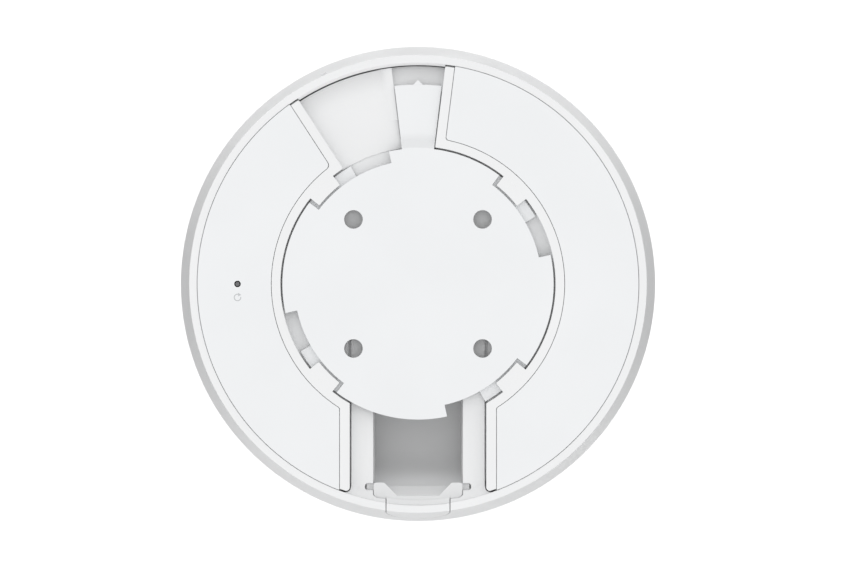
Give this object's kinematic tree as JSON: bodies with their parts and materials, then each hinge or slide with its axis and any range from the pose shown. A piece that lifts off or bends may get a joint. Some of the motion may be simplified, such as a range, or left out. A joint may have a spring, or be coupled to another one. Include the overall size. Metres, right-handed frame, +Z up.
{
  "type": "ceiling access point",
  "caption": "Round ceiling access point with a twist-lock mounting plate, kidney-shaped rear panels, a cable channel and a hinged cable door.",
  "frame": {"origin": "centre of the mounting plate's ceiling face", "axes": "+Z up, out of the plate's face into the ceiling; +Y from the cable door towards the plate's locking arm; +X to the right seen from the ceiling"},
  "size_m": [0.172, 0.172, 0.033],
  "materials": {
    "housing_white": "fine moulded satin, white",
    "cover_white": "fine moulded satin, white",
    "panel_white": "smooth satin, very slightly cool white",
    "plate_white": "fine moulded satin, white",
    "board_green": "solder mask",
    "plated_steel": "tin-plated sheet",
    "screw_steel": "zinc-plated",
    "cast_aluminium": "die cast",
    "pad_rubber": "soft thermal pad",
    "gold_contact": "plated contact",
    "lead_black": "coaxial jacket",
    "clear_plastic": "clear light pipe",
    "led_white": "LED body",
    "switch_grey": "switch body",
    "button_grey": "reset button"
  },
  "bodies": {
    "bracket": {"mounting_plate": "plate_white"},
    "housing": {"antenna_1": "plated_steel", "antenna_2": "plated_steel", "antenna_3": "plated_steel", "antenna_4": "plated_steel", "antenna_lead_1": "lead_black", "antenna_lead_2": "lead_black", "antenna_lead_3": "lead_black", "antenna_lead_4": "lead_black", "board_screw_1": "screw_steel", "board_screw_2": "screw_steel", "board_screw_3": "screw_steel", "board_screw_4": "screw_steel", "cover_screw_1": "screw_steel", "cover_screw_2": "screw_steel", "cover_screw_3": "screw_steel", "cover_screw_4": "screw_steel", "cover_screw_5": "screw_steel", "cover_screw_6": "screw_steel", "front_radome": "housing_white", "heat_spreader": "cast_aluminium", "jack_contacts": "gold_contact", "main_board": "board_green", "network_jack": "plated_steel", "outer_housing": "housing_white", "panel_left": "panel_white", "panel_right": "panel_white", "rear_cover": "cover_white", "reset_switch": "switch_grey", "shield_can_1": "plated_steel", "shield_can_2": "plated_steel", "shield_can_3": "plated_steel", "status_led": "led_white", "status_light_pipe": "clear_plastic", "thermal_pad_1": "pad_rubber", "thermal_pad_2": "pad_rubber", "thermal_pad_3": "pad_rubber"},
    "door": {"cable_door": "housing_white"},
    "reset": {"reset_button": "button_grey"}
  },
  "joints": [
    {"name": "bayonet_twist", "type": "hinge", "parent": "bracket", "child": "housing", "pos_m": [0, 0, -0.002], "axis": [0, 0, -1], "range_deg": [0, 24]},
    {"name": "door_hinge", "type": "hinge", "parent": "housing", "child": "door", "pos_m": [0, -0.0735, -0.0062], "axis": [-1, 0, 0], "range_deg": [0, 90]},
    {"name": "reset_press", "type": "slide", "parent": "housing", "child": "reset", "axis": [0, 0, -1], "range_m": [0, 0.0004], "stiffness_N_per_m": 300}
  ]
}
